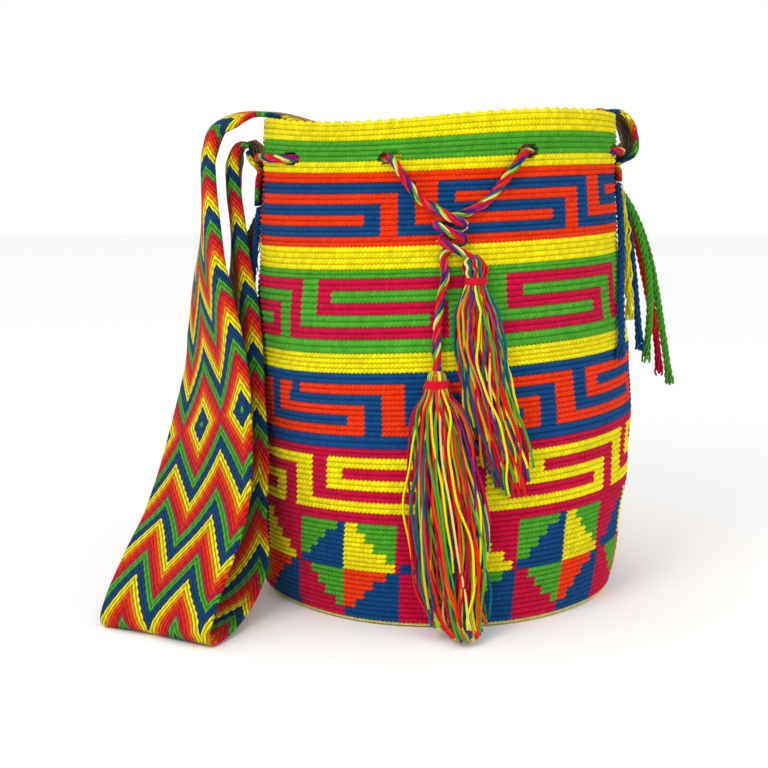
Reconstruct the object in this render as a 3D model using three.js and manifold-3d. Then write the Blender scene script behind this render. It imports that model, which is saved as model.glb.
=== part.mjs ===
// A crocheted shoulder bag (mochila): round base, straight tube body, drawstring through eyelets,
// two tassels, and a broad woven strap whose sewn ends finish in fringes of loose cords.
// Millimetres, +Z up. The front of the bag faces -Y. The origin is the centre of the flat base.
import * as THREE from 'three';
import { mergeVertices } from 'three/addons/utils/BufferGeometryUtils.js';
import Module from 'manifold-3d';

const wasm = await Module();
wasm.setup();

// ---------- driving dimensions ----------

const WALL = 4;
const BASE_THICKNESS = 4;
const BODY_COLUMNS = 56;

// The bag's outline from base to rim. Each row: height, half width, depth of the front half,
// depth of the back half, shift to the right, and how far the crochet rows climb to the right.
// The base is round; towards the rim the front is flattened.
const OUTLINE = [
  [0, 112, 112, 112, 0, 0],
  [4, 114.5, 114, 114.5, 0, 0],
  [12, 116.5, 115, 116.5, 0, 1],
  [40, 119, 115, 119, 1, 3],
  [70, 120.5, 113, 120.5, 3, 5],
  [100, 121, 109, 121, 4, 6.5],
  [125, 120.5, 104, 120.5, 4, 7],
  [150, 119.5, 98, 119.5, 3, 7],
  [175, 118, 89, 118, 1.5, 6.5],
  [200, 116, 79, 117, 0.5, 5.5],
  [225, 114.5, 70, 115, 0, 4.5],
  [250, 113, 64, 113, -0.5, 3.5],
  [275, 112, 61, 111, 0, 2],
  [300, 111.5, 60, 108, 0, 0.5],
];

// The rim sinks by this much where the strap lies over it, this far round from the front (radians).
const RIM_DIP = 10;
const RIM_DIP_ANGLE = 2.09;
const RIM_DIP_SPREAD = 0.44;

const EYELET_HEIGHT = 278;
const EYELET_WIDTH = 20;
const EYELET_OPENING = 10;
// Degrees around the mouth from the front, positive to the right.
const EYELET_ANGLES = [29, -15.5, -55, -100, -145, 170, 125, 78];

const CORD_DIAMETER = 5.4;

const STRAP_WIDTH = 80;
const STRAP_THICKNESS = 3.6;
// The strap's front edge rolls over: the last part of its width bends round this radius.
const STRAP_ROLL_START = 26;
const STRAP_ROLL_RADIUS = 10;
// The sewn ends lie on the rounder back half of the side walls, one half width behind the side.
const STRAP_END_OFFSET = 3.4;
// The side wall's radius of curvature there, which turns a distance across the strap into an angle.
const SIDE_WALL_RADIUS = 113;

const FRINGE_DIAMETER = 3.4;

// ---------- materials ----------

function yarn(color, roughness = 0.95) {
  return new THREE.MeshStandardMaterial({ color, roughness, metalness: 0 });
}

const YELLOW = 0xf5e400;
const GREEN = 0x4ba02d;
const ORANGE = 0xff4a0a;
const BLUE = 0x0f4b82;
const MAGENTA = 0xc8003c;

const object = new THREE.Group();

function addPiece(name, geometry, material) {
  const mesh = new THREE.Mesh(geometry, material);
  mesh.name = name;
  object.add(mesh);
}

// ---------- the bag's shape ----------

// The outline's values at a height, straight between its rows.
function outlineAt(height) {
  let upper = 1;
  while (upper < OUTLINE.length - 1 && OUTLINE[upper][0] < height) upper += 1;
  const low = OUTLINE[upper - 1];
  const high = OUTLINE[upper];
  const share = THREE.MathUtils.clamp((height - low[0]) / (high[0] - low[0]), 0, 1);
  const [, halfWidth, front, back, shift, climb] = low.map((value, i) => value + (high[i] - value) * share);
  return { halfWidth, front, back, shift, climb };
}

// The gentle wave of the rim, and its dip under the strap on either side. Both die out below it.
function rimWave(height, angle) {
  const share = THREE.MathUtils.clamp((height - 240) / 60, 0, 1);
  const turned = Math.atan2(Math.sin(angle), Math.cos(angle));
  const fromDip = (Math.abs(turned) - RIM_DIP_ANGLE) / RIM_DIP_SPREAD;
  const dip = RIM_DIP * Math.exp(-fromDip * fromDip);
  return share * share * (3.0 * Math.sin(angle) + 2.2 * Math.sin(3 * angle) - 0.2 - dip);
}

// A point on the bag's wall, `outward` mm outside it. Angle 0 is the front, +90 degrees the right.
function wallPoint(height, angle, outward = 0, level = false) {
  const { halfWidth, front, back, shift, climb } = outlineAt(height);
  const depth = Math.cos(angle) > 0 ? front : back;
  const lift = level ? 0 : climb * Math.sin(angle) + rimWave(height, angle);
  return new THREE.Vector3(
    shift + (halfWidth + outward) * Math.sin(angle),
    -(depth + outward) * Math.cos(angle),
    height + lift,
  );
}

// ---------- building blocks ----------

// A closed solid through a row of rings with equal numbers of points, closed at both ends by a fan.
function loft(rings) {
  const count = rings[0].length;
  const positions = [];
  const faces = [];
  for (const ring of rings) {
    for (const point of ring) positions.push(point.x, point.y, point.z);
  }
  for (let r = 0; r < rings.length - 1; r += 1) {
    for (let i = 0; i < count; i += 1) {
      const a = r * count + i;
      const b = r * count + ((i + 1) % count);
      faces.push(a, b, b + count, a, b + count, a + count);
    }
  }
  addFan(positions, faces, rings[0], 0, true);
  addFan(positions, faces, rings[rings.length - 1], (rings.length - 1) * count, false);
  const geometry = new THREE.BufferGeometry();
  geometry.setAttribute('position', new THREE.Float32BufferAttribute(positions, 3));
  geometry.setIndex(faces);
  geometry.computeVertexNormals();
  return geometry;
}

function addFan(positions, faces, ring, first, reversed) {
  const centre = new THREE.Vector3();
  for (const point of ring) centre.addScaledVector(point, 1 / ring.length);
  const middle = positions.length / 3;
  positions.push(centre.x, centre.y, centre.z);
  for (let i = 0; i < ring.length; i += 1) {
    const a = first + i;
    const b = first + ((i + 1) % ring.length);
    if (reversed) faces.push(b, a, middle);
    else faces.push(a, b, middle);
  }
}

// A round tube along a smooth route.
function tube(points, diameter, steps, sides = 8) {
  const section = new THREE.Shape();
  for (let i = 0; i < sides; i += 1) {
    const angle = (i / sides) * 2 * Math.PI;
    const x = (diameter / 2) * Math.cos(angle);
    const y = (diameter / 2) * Math.sin(angle);
    if (i === 0) section.moveTo(x, y);
    else section.lineTo(x, y);
  }
  section.closePath();
  const route = new THREE.CatmullRomCurve3(points);
  return new THREE.ExtrudeGeometry(section, { steps, extrudePath: route, bevelEnabled: false });
}

function toSolid(geometry) {
  const bare = geometry.clone();
  for (const name of ['normal', 'uv']) bare.deleteAttribute(name);
  const merged = mergeVertices(bare, 1e-4);
  const vertProperties = new Float32Array(merged.attributes.position.array);
  const triVerts = new Uint32Array(merged.index.array);
  return new wasm.Manifold(new wasm.Mesh({ numProp: 3, vertProperties, triVerts }));
}

function fromSolid(solid) {
  const mesh = solid.getMesh();
  const geometry = new THREE.BufferGeometry();
  geometry.setAttribute('position', new THREE.Float32BufferAttribute(mesh.vertProperties, 3));
  geometry.setIndex(new THREE.Uint32BufferAttribute(mesh.triVerts, 1));
  geometry.computeVertexNormals();
  return geometry;
}

const point = (x, y, z) => new THREE.Vector3(x, y, z);
const degrees = THREE.MathUtils.degToRad;

// ---------- bag body ----------

function bodyRing(height, inward) {
  const ring = [];
  for (let i = 0; i < BODY_COLUMNS; i += 1) {
    const angle = (i / BODY_COLUMNS) * 2 * Math.PI;
    ring.push(wallPoint(height, angle, -inward));
  }
  return ring;
}

// One loft: up the outside, over the rim, down the inside to the floor.
function bodyShell() {
  const rings = OUTLINE.map(([height]) => bodyRing(height, 0));
  const insideHeights = OUTLINE.map(([height]) => height).filter((height) => height > 2 * BASE_THICKNESS);
  for (const height of insideHeights.reverse()) rings.push(bodyRing(height, WALL));
  const floor = bodyRing(12, WALL + 3);
  for (const corner of floor) corner.z = BASE_THICKNESS;
  rings.push(floor);
  return loft(rings);
}

// A flat-sided slot with round ends, lying across the wall.
function eyeletCutter(angle) {
  const radius = EYELET_OPENING / 2;
  const reach = EYELET_WIDTH / 2 - radius;
  const slot = new THREE.Shape();
  slot.moveTo(-reach, -radius);
  slot.lineTo(reach, -radius);
  slot.absarc(reach, 0, radius, -Math.PI / 2, Math.PI / 2, false);
  slot.lineTo(-reach, radius);
  slot.absarc(-reach, 0, radius, Math.PI / 2, (3 * Math.PI) / 2, false);
  const cutter = new THREE.ExtrudeGeometry(slot, { depth: 24, bevelEnabled: false, curveSegments: 4 });
  cutter.translate(0, 0, -12);
  const centre = wallPoint(EYELET_HEIGHT, angle, -WALL / 2);
  const before = wallPoint(EYELET_HEIGHT, angle - 0.05, -WALL / 2, true);
  const after = wallPoint(EYELET_HEIGHT, angle + 0.05, -WALL / 2, true);
  const along = after.sub(before).normalize();
  const up = point(0, 0, 1);
  const out = new THREE.Vector3().crossVectors(along, up);
  cutter.applyMatrix4(new THREE.Matrix4().makeBasis(along, up, out).setPosition(centre));
  return cutter;
}

function bagBody() {
  let solid = toSolid(bodyShell());
  for (const angle of EYELET_ANGLES) {
    solid = solid.subtract(toSolid(eyeletCutter(degrees(angle))));
  }
  return fromSolid(solid);
}

// ---------- shoulder strap ----------

// Stations along the strap's middle line, from the end sewn on the right, over the mouth, down the
// outer leg to the floor, back up the inner leg to the end sewn on the left. Each: x, y, z, the
// direction of the width in degrees (0 = to the right, 90 = to the front), how much the front edge
// rolls (positive: away from the strap's outer face), and how far the strap follows the wall (0-1).
const STRAP_STATIONS = [
  [110, 40, 260, 90, 0, 1],
  [110, 40, 266, 90, 0, 1],
  [125, 38, 280, 90, 0, 0],
  [122, 37, 295, 90, 0, 0],
  [113, 35, 303, 90, 0, 0],
  [98, 33, 302.5, 90, 0, 0],
  [80, 32, 299.5, 90, 0, 0],
  [60, 31, 293, 90, 0.3, 0],
  [20, 30, 287, 90, 0.6, 0],
  [-40, 30, 286, 90, 0.6, 0],
  [-75, 31, 293, 90, 0.3, 0],
  [-98, 32, 300, 90, 0, 0],
  [-114, 33, 302.5, 90, 0, 0],
  [-132, 33, 301, 90, 0.9, 0],
  [-146, 33, 293, 90, 1, 0],
  [-152, 31, 278, 88, 1, 0],
  [-154, 25, 254, 85, 1, 0],
  [-154, 14, 228, 80, 1, 0],
  [-153, 1, 201, 73, 0.9, 0],
  [-150, -12, 176, 66, 0.8, 0],
  [-146, -27, 151, 60, 0.6, 0],
  [-144, -43, 125, 52, 0.3, 0],
  [-144, -58, 102, 46, 0.1, 0],
  [-145, -75, 80, 40, 0, 0],
  [-148, -92, 60, 35, 0, 0],
  [-155, -110, 40, 31, 0, 0],
  [-162, -127, 20, 29, 0, 0],
  [-164, -135, 9, 28, 0, 0],
  [-163.5, -135.5, 4.5, 28, 0, 0],
  [-161, -131, 2.4, 28, 0, 0],
  [-156, -120.5, 3.6, 26, 0, 0],
  [-149, -102, 9, 24, 0, 0],
  [-142, -84, 19, 28, 0, 0],
  [-138, -67, 34, 35, 0, 0],
  [-136, -54, 57, 43, -0.1, 0],
  [-134, -45, 78, 48, -0.3, 0],
  [-134, -34, 100, 54, -0.5, 0],
  [-134, -20, 128, 61, -0.7, 0],
  [-134, -7, 152, 67, -0.9, 0],
  [-134, 5, 175, 73, -1, 0],
  [-135, 16, 200, 79, -1, 0],
  [-136, 26, 228, 84, -1, 0],
  [-137, 33, 252, 88, -1, 0],
  [-136, 37, 270, 90, -0.7, 0],
  [-131, 39, 281, 90, -0.3, 0],
  [-124, 40, 282, 90, 0, 0],
  [-120.5, 40, 273, 90, 0, 0],
  [-110, 40, 261, 90, 0, 1],
  [-110, 40, 252, 90, 0, 1],
  [-110, 40, 244, 90, 0, 1],
];

const STRAP_ACROSS = [-40, -14, 8, 26, 31, 35.5, 40];
const STRAP_STEPS_PER_STATION = 2;

// Where a point of the strap's width lies when that stretch is sewn flat on the side wall.
function sewnPoint(side, across, height, outward) {
  const behind = (STRAP_WIDTH / 2 - across) / SIDE_WALL_RADIUS;
  const angle = side * (Math.PI / 2 + behind);
  return wallPoint(height, angle, STRAP_END_OFFSET + outward, true);
}

function strapShape() {
  const middle = new THREE.CatmullRomCurve3(
    STRAP_STATIONS.map(([x, y, z]) => point(x, y, z)),
    false,
    'centripetal',
  );
  const settings = new THREE.CatmullRomCurve3(
    STRAP_STATIONS.map(([, , , turn, roll, sewn]) => point(turn, roll, sewn)),
    false,
    'centripetal',
  );
  const rings = [];
  const total = (STRAP_STATIONS.length - 1) * STRAP_STEPS_PER_STATION;
  for (let i = 0; i <= total; i += 1) {
    const share = i / total;
    const centre = middle.getPoint(share);
    const ahead = middle.getTangent(share);
    const { x: turn, y: roll, z: sewn } = settings.getPoint(share);
    const width = point(Math.cos(degrees(turn)), -Math.sin(degrees(turn)), 0);
    width.addScaledVector(ahead, -width.dot(ahead)).normalize();
    const outer = new THREE.Vector3().crossVectors(ahead, width);
    const side = share < 0.5 ? 1 : -1;
    const place = (across, outward) => {
      const free = rolledPoint(centre, width, outer, across, outward, roll);
      const flat = sewnPoint(side, across, centre.z, outward);
      return free.lerp(flat, THREE.MathUtils.clamp(sewn, 0, 1));
    };
    const half = STRAP_THICKNESS / 2;
    const front = STRAP_ACROSS.map((across) => place(across, half));
    const back = STRAP_ACROSS.map((across) => place(across, -half)).reverse();
    rings.push([...front, ...back].reverse());
  }
  return loft(rings);
}

// A point of the strap's section: flat, with the front edge rolled round an arc.
function rolledPoint(centre, width, outer, across, outward, roll) {
  const beyond = across - STRAP_ROLL_START;
  if (beyond <= 0 || Math.abs(roll) < 0.01) {
    return centre.clone().addScaledVector(width, across).addScaledVector(outer, outward);
  }
  const radius = STRAP_ROLL_RADIUS / Math.abs(roll);
  const angle = beyond / radius;
  const bend = Math.sign(roll);
  const along = STRAP_ROLL_START + (radius + bend * outward) * Math.sin(angle);
  const drop = bend * (radius - (radius + bend * outward) * Math.cos(angle));
  return centre.clone().addScaledVector(width, along).addScaledVector(outer, -drop);
}

// ---------- drawstring ----------

// A point in front of the bag: `out` mm off the front wall at that place.
function frontPoint(x, out, z) {
  const { halfWidth, front, shift } = outlineAt(z);
  const across = (x - shift) / halfWidth;
  return point(x, -front * Math.sqrt(1 - across * across) - out, z);
}

const CORD_INSIDE = -7.4;
const CORD_OUTSIDE = 3.4;
const CORD_IN_EYELET = -2;
// How far either side of an eyelet, in mm, the cord comes to lie along the wall.
const CORD_PASSAGE = 9;
const CORD_BUTT_GAP = 2.4;

// The eyelets in the order the cord visits them, clockwise seen from above, from the front left.
const CORD_ORDER = [-15.5, -55, -100, -145, -190, -235, -282, -331];

// Degrees around the wall for a distance along it.
function turnFor(distance, angle) {
  const { halfWidth, front, back } = outlineAt(EYELET_HEIGHT);
  const depth = Math.cos(degrees(angle)) > 0 ? front : back;
  const rate = Math.hypot(halfWidth * Math.cos(degrees(angle)), depth * Math.sin(degrees(angle)));
  return THREE.MathUtils.radToDeg(distance / rate);
}

const eyeletLevel = (angle, outward) => wallPoint(EYELET_HEIGHT, degrees(angle), outward);

// The held stretch: through the eyelets in turn, alternately inside and outside the wall.
function drawstringRun() {
  const points = [];
  for (let gap = 0; gap < CORD_ORDER.length - 1; gap += 1) {
    const out = gap % 2 === 0 ? CORD_INSIDE : CORD_OUTSIDE;
    const from = CORD_ORDER[gap] - turnFor(CORD_PASSAGE, CORD_ORDER[gap]);
    const to = CORD_ORDER[gap + 1] + turnFor(CORD_PASSAGE, CORD_ORDER[gap + 1]);
    for (let i = 0; i <= 4; i += 1) points.push(eyeletLevel(from + ((to - from) * i) / 4, out));
    if (gap < CORD_ORDER.length - 2) points.push(eyeletLevel(CORD_ORDER[gap + 1], CORD_IN_EYELET));
  }
  return tube(points, CORD_DIAMETER, 78);
}

// Each free end starts inside the wall, comes out through its front eyelet and goes to the half
// knot. [x, out, z]: out is the distance of the cord's middle from the front wall.
const SHORT_END_ROUTE = [
  [-26, 4.4, 273],
  [-22.5, 4.2, 267.5],
  [-18, 4, 261],
  [-12, 4, 253.5],
  [-6, 5.5, 249],
  [1, 8.5, 245.5],
  [8, 10, 241.5],
  [16, 7.5, 237.5],
  [8, 3.7, 233],
  [1.5, 7, 228.8],
  [8, 10, 224.5],
  [15, 8.5, 221],
  [20, 7.5, 217.5],
  [21.5, 7.5, 214],
];
const LONG_END_ROUTE = [
  [49, 4.6, 276],
  [44.5, 4.2, 269.5],
  [39.8, 4, 263.4],
  [33.9, 4, 256.4],
  [27, 4, 249.5],
  [18, 4, 244.8],
  [8, 4, 241.5],
  [-1.5, 6.8, 238],
  [8, 10.6, 233],
  [15.5, 7, 228.8],
  [8, 4, 224.5],
  [3, 4.5, 218.5],
  [4.3, 5, 211],
  [4, 5, 204],
  [2, 5, 195],
  [0.8, 5, 186],
  [-0.2, 5, 176],
  [-0.4, 5.5, 165],
  [-0.2, 7, 157],
  [0, 8, 152.6],
];

function drawstringEnd(eyelet, towards, route, steps) {
  const inside = eyelet + towards * (turnFor(CORD_PASSAGE, eyelet) - turnFor(CORD_BUTT_GAP, eyelet));
  const start = [eyeletLevel(inside, CORD_INSIDE), eyeletLevel(eyelet, CORD_IN_EYELET)];
  const rest = route.map(([x, out, z]) => frontPoint(x, out, z));
  return tube([...start, ...rest], CORD_DIAMETER, steps);
}

// ---------- tassels ----------

// A round tie of yarn with soft edges, upright at the given place.
function tie(centre, radius, height) {
  const edge = 1.5;
  const half = height / 2;
  const profile = [
    new THREE.Vector2(0, -half),
    new THREE.Vector2(radius - edge, -half),
    new THREE.Vector2(radius, -half + edge),
    new THREE.Vector2(radius, half - edge),
    new THREE.Vector2(radius - edge, half),
    new THREE.Vector2(0, half),
  ];
  const geometry = new THREE.LatheGeometry(profile, 16);
  geometry.rotateX(Math.PI / 2);
  geometry.translate(centre.x, centre.y, centre.z);
  return geometry;
}

// A bundle through oval sections. [x, out, z, half width, half depth], from the top down.
function bundle(sections) {
  const centres = sections.map(([x, out, z]) => frontPoint(x, out, z));
  const rings = sections.map(([, , , halfWidth, halfDepth], i) => {
    const before = centres[Math.max(i - 1, 0)];
    const after = centres[Math.min(i + 1, centres.length - 1)];
    const ahead = after.clone().sub(before).normalize();
    const across = point(1, 0, 0).addScaledVector(ahead, -ahead.x).normalize();
    const through = new THREE.Vector3().crossVectors(ahead, across);
    const ring = [];
    for (let k = 0; k < 20; k += 1) {
      const angle = (k / 20) * 2 * Math.PI;
      const corner = centres[i].clone();
      corner.addScaledVector(across, halfWidth * Math.cos(angle));
      corner.addScaledVector(through, halfDepth * Math.sin(angle));
      ring.push(corner);
    }
    return ring;
  });
  return loft(rings);
}

// ---------- fringes ----------

// Loose cords below the strap's sewn ends. Each: name, colour, and its route of x, y, z.
const FRINGE_CORDS = [
  ['right_fringe_blue_1', BLUE, [
    [114.6, 2, 258.2], [115.8, -6, 240], [116, -17, 214], [114.8, -29, 188], [114.6, -40, 164], [113, -46, 152],
  ]],
  ['right_fringe_yellow', YELLOW, [
    [114.4, 7.5, 258.2], [117.5, 2, 247], [119.8, -4, 228], [121, -11, 205], [121.8, -17, 182], [122, -20, 174],
  ]],
  ['right_fringe_blue_2', BLUE, [
    [114, 13, 258.2], [119, 10, 248], [123, 6, 228], [126, 2, 204], [128.5, -3, 178], [131, -6, 152],
  ]],
  ['right_fringe_green_1', GREEN, [
    [113.2, 18.5, 258.2], [121, 17.5, 249], [129, 16, 232], [135, 14, 212], [138, 12, 196], [138.5, 10, 172],
    [136.5, 8, 143],
  ]],
  ['right_fringe_green_2', GREEN, [
    [112, 24, 258.2], [121, 24, 250], [130.5, 24, 234], [138.5, 23, 212], [144, 22, 188], [148.5, 21, 163],
    [155, 20, 125],
  ]],
  ['right_fringe_orange', ORANGE, [
    [110.5, 29.5, 258.2], [120, 30.5, 250], [128, 31, 232], [134, 31, 210], [139, 30, 188], [145, 28, 160],
  ]],
  ['right_fringe_magenta', MAGENTA, [
    [108.8, 35, 258.2], [119, 36.5, 250], [129, 38, 230], [137, 38, 205], [143, 37, 180], [147, 36, 155],
    [150, 35, 130],
  ]],
  ['left_fringe_blue', BLUE, [
    [-115.5, 2, 242.4], [-116.8, -4, 228], [-118.6, -8, 208], [-120.2, -10, 186], [-121.4, -11, 160],
  ]],
  ['left_fringe_magenta', MAGENTA, [
    [-115.1, 7.5, 242.4], [-118.5, 6, 230], [-121.5, 5, 212], [-122.5, 4, 195], [-123, 4, 180],
  ]],
  ['left_fringe_green', GREEN, [
    [-114.4, 13, 242.4], [-119, 13, 234], [-124, 13, 223], [-126.5, 13, 212], [-127, 13, 200],
  ]],
  ['left_fringe_yellow', YELLOW, [
    [-113.6, 18.5, 242.4], [-118, 20, 232], [-121, 21, 216], [-122, 22, 200],
  ]],
];

// ---------- assembly ----------

addPiece('bag_body', bagBody(), yarn(YELLOW));
addPiece('shoulder_strap', strapShape(), yarn(ORANGE));
addPiece('drawstring_run', drawstringRun(), yarn(MAGENTA));
addPiece('drawstring_short_end', drawstringEnd(-15.5, -1, SHORT_END_ROUTE, 34), yarn(MAGENTA));
addPiece('drawstring_long_end', drawstringEnd(29, 1, LONG_END_ROUTE, 60), yarn(MAGENTA));

addPiece('short_tassel_head', bundle([
  [21.5, 7.5, 213.5, 3, 3],
  [22, 7.8, 211.5, 6, 5],
  [22.5, 8.2, 207, 6.5, 5.5],
  [22.5, 8.5, 204.6, 5, 4.5],
]), yarn(MAGENTA));
addPiece('short_tassel_tie', tie(frontPoint(22.5, 8.8, 198.8), 6.5, 7), yarn(ORANGE));
addPiece('short_tassel_skein', bundle([
  [22.5, 9, 192.8, 6.5, 5],
  [23, 9, 186, 11, 6],
  [25, 9, 170, 13, 6.5],
  [28, 9, 149, 13.5, 6.5],
  [33.5, 9, 126, 14, 6.5],
  [40.5, 9, 103, 14.5, 6],
  [46, 8, 78, 11, 4.5],
]), yarn(GREEN));

addPiece('long_tassel_tie', tie(frontPoint(0, 9.5, 147), 7, 7.4), yarn(ORANGE));
addPiece('long_tassel_skein', bundle([
  [0, 10, 140.6, 7, 6],
  [0.8, 10, 132, 13, 7],
  [2, 10, 120, 16, 7.5],
  [4, 10, 100, 19, 8],
  [6, 10, 78, 21.5, 8],
  [8.5, 10, 55, 22, 8],
  [10, 10.5, 32, 21, 7.5],
  [12, 14, 16, 18, 6],
  [15, 24, 6.5, 16, 4],
  [19, 38, 4, 12, 3],
]), yarn(YELLOW));

for (const [name, color, route] of FRINGE_CORDS) {
  const points = route.map(([x, y, z]) => point(x, y, z));
  addPiece(name, tube(points, FRINGE_DIAMETER, 18), yarn(color));
}

export default object;
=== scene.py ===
import math

import bpy
import numpy as np
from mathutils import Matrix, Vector


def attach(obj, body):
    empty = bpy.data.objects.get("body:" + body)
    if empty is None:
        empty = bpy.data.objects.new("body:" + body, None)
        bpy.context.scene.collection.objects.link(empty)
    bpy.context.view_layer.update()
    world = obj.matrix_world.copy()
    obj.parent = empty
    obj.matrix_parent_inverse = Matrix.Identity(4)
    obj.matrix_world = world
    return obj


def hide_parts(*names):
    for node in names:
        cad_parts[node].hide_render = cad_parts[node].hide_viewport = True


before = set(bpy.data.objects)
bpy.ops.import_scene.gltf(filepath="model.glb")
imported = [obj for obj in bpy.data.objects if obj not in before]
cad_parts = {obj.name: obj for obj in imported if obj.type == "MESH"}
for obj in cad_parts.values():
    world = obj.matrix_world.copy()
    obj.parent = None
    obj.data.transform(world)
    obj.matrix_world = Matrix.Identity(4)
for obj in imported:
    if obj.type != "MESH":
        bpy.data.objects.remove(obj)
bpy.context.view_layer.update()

# A crocheted shoulder bag: tapestry-crochet tube on a round base, a twisted drawstring with two
# tassels, and a broad woven strap whose sewn ends finish in loose cords.
# Metres, +Z up. The front of the bag faces -Y. The origin is the centre of the flat base.
# Angles round the bag run from the front (0) towards the right.

rng = np.random.default_rng(7)

# ---------- colours ----------


def linear(red, green, blue):
    """A linear colour from the sRGB values 0 to 255."""
    values = np.array([red, green, blue]) / 255
    return np.where(values <= 0.04045, values / 12.92, ((values + 0.055) / 1.055) ** 2.4)


YELLOW = linear(255, 238, 0)
GREEN = linear(78, 172, 42)
ORANGE = linear(255, 56, 0)
BLUE = linear(0, 74, 134)
MAGENTA = linear(212, 0, 62)
CREAM = linear(246, 232, 130)
RED = linear(240, 30, 16)
TEAL = linear(0, 104, 124)
NAVY = linear(16, 44, 112)
PURPLE = linear(128, 24, 130)
LIME = linear(190, 210, 40)
AMBER = linear(255, 138, 0)
TIE_RED = linear(226, 6, 40)

# ---------- camera ----------

CAMERA_PLACE = (0, -0.980, 0.300)
CAMERA_PITCH = 9.95
CAMERA_YAW = 2.04
CAMERA_LENS = 71.06

camera_data = bpy.data.cameras.new("camera")
camera_data.lens = CAMERA_LENS
camera_data.sensor_width = 36
camera_data.clip_start = 0.05
camera_data.clip_end = 20
camera = bpy.data.objects.new("camera", camera_data)
bpy.context.collection.objects.link(camera)
camera.location = CAMERA_PLACE
camera.rotation_euler = (math.radians(90 - CAMERA_PITCH), 0, math.radians(CAMERA_YAW))
bpy.context.scene.camera = camera
bpy.context.scene.view_settings.view_transform = "Standard"

# ---------- the bag's shape, as in the CAD ----------

# From base to rim: height, half width, depth of the front half, depth of the back half, shift to
# the right, and how far the crochet rows climb to the right.
OUTLINE = np.array([
    (0, 0.112, 0.112, 0.112, 0, 0),
    (0.004, 0.1145, 0.114, 0.1145, 0, 0),
    (0.012, 0.1165, 0.115, 0.1165, 0, 0.001),
    (0.04, 0.119, 0.115, 0.119, 0.001, 0.003),
    (0.07, 0.1205, 0.113, 0.1205, 0.003, 0.005),
    (0.1, 0.121, 0.109, 0.121, 0.004, 0.0065),
    (0.125, 0.1205, 0.104, 0.1205, 0.004, 0.007),
    (0.15, 0.1195, 0.098, 0.1195, 0.003, 0.007),
    (0.175, 0.118, 0.089, 0.118, 0.0015, 0.0065),
    (0.2, 0.116, 0.079, 0.117, 0.0005, 0.0055),
    (0.225, 0.1145, 0.07, 0.115, 0, 0.0045),
    (0.25, 0.113, 0.064, 0.113, -0.0005, 0.0035),
    (0.275, 0.112, 0.061, 0.111, 0, 0.002),
    (0.3, 0.1115, 0.06, 0.108, 0, 0.0005),
])

WALL = 0.004
RIM_DIP = 0.010
RIM_DIP_ANGLE = 2.09
RIM_DIP_SPREAD = 0.44
RIM_WAVE_START = 0.240
RIM_WAVE_REACH = 0.060


def outline_at(height):
    """The outline's five values at a height or an array of heights."""
    return [np.interp(height, OUTLINE[:, 0], OUTLINE[:, k]) for k in range(1, 6)]


def rim_wave(height, angle):
    """The rim's gentle wave and its dips under the strap, dying out below the mouth."""
    share = np.clip((height - RIM_WAVE_START) / RIM_WAVE_REACH, 0, 1)
    turned = np.arctan2(np.sin(angle), np.cos(angle))
    dip = RIM_DIP * np.exp(-(((np.abs(turned) - RIM_DIP_ANGLE) / RIM_DIP_SPREAD) ** 2))
    wave = 0.003 * np.sin(angle) + 0.0022 * np.sin(3 * angle) - 0.0002
    return share**2 * (wave - dip)


def wall_point(height, angle, outward=0.0, level=False):
    """A point of the wall, or an array of them. Angle 0 is the front, a quarter turn the right."""
    half_width, front, back, shift, climb = outline_at(height)
    depth = np.where(np.cos(angle) > 0, front, back)
    lift = 0 if level else climb * np.sin(angle) + rim_wave(height, angle)
    x = shift + (half_width + outward) * np.sin(angle)
    y = -(depth + outward) * np.cos(angle)
    return np.stack(np.broadcast_arrays(x, y, height + lift), axis=-1)


def front_point(x, out, z):
    """A point in front of the bag, `out` metres off the front wall."""
    half_width, front, _, shift, _ = outline_at(z)
    across = (x - shift) / half_width
    return np.array([x, -front * math.sqrt(1 - across**2) - out, z])


# ---------- routes and tubes ----------


def curve(points, per_span):
    """A centripetal Catmull-Rom curve through the points, `per_span` steps between neighbours."""
    points = np.array(points, dtype=float)
    before = 2 * points[0] - points[1]
    after = 2 * points[-1] - points[-2]
    padded = np.vstack([before, points, after])
    made = []
    for i in range(len(points) - 1):
        p0, p1, p2, p3 = padded[i : i + 4]
        pairs = ((p0, p1), (p1, p2), (p2, p3))
        d0, d1, d2 = (max(np.sum((b - a) ** 2) ** 0.25, 1e-4) for a, b in pairs)
        m1 = ((p1 - p0) / d0 - (p2 - p0) / (d0 + d1) + (p2 - p1) / d1) * d1
        m2 = ((p2 - p1) / d1 - (p3 - p1) / (d1 + d2) + (p3 - p2) / d2) * d1
        last = i == len(points) - 2
        for t in np.arange(per_span + (1 if last else 0)) / per_span:
            made.append(
                p1 + m1 * t + (3 * (p2 - p1) - 2 * m1 - m2) * t**2 + (2 * (p1 - p2) + m1 + m2) * t**3
            )
    return np.array(made)


def distances(path):
    """The distance along a path at each of its points."""
    return np.concatenate([[0], np.cumsum(np.linalg.norm(np.diff(path, axis=0), axis=1))])


def evenly(path, step):
    """The same path with its points `step` apart."""
    along = distances(path)
    count = max(int(round(along[-1] / step)), 2)
    places = np.linspace(0, along[-1], count + 1)
    return np.stack([np.interp(places, along, path[:, k]) for k in range(3)], axis=1)


def frames(path):
    """Two directions across the path at each point, carried along it without twisting."""
    ahead = np.gradient(path, axis=0)
    ahead /= np.linalg.norm(ahead, axis=1)[:, None]
    side = np.cross(ahead[0], (0.31, 0.94, 0.13))
    sides = []
    for direction in ahead:
        side = side - np.dot(side, direction) * direction
        side = side / np.linalg.norm(side)
        sides.append(side)
    sides = np.array(sides)
    return sides, np.cross(ahead, sides)


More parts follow.
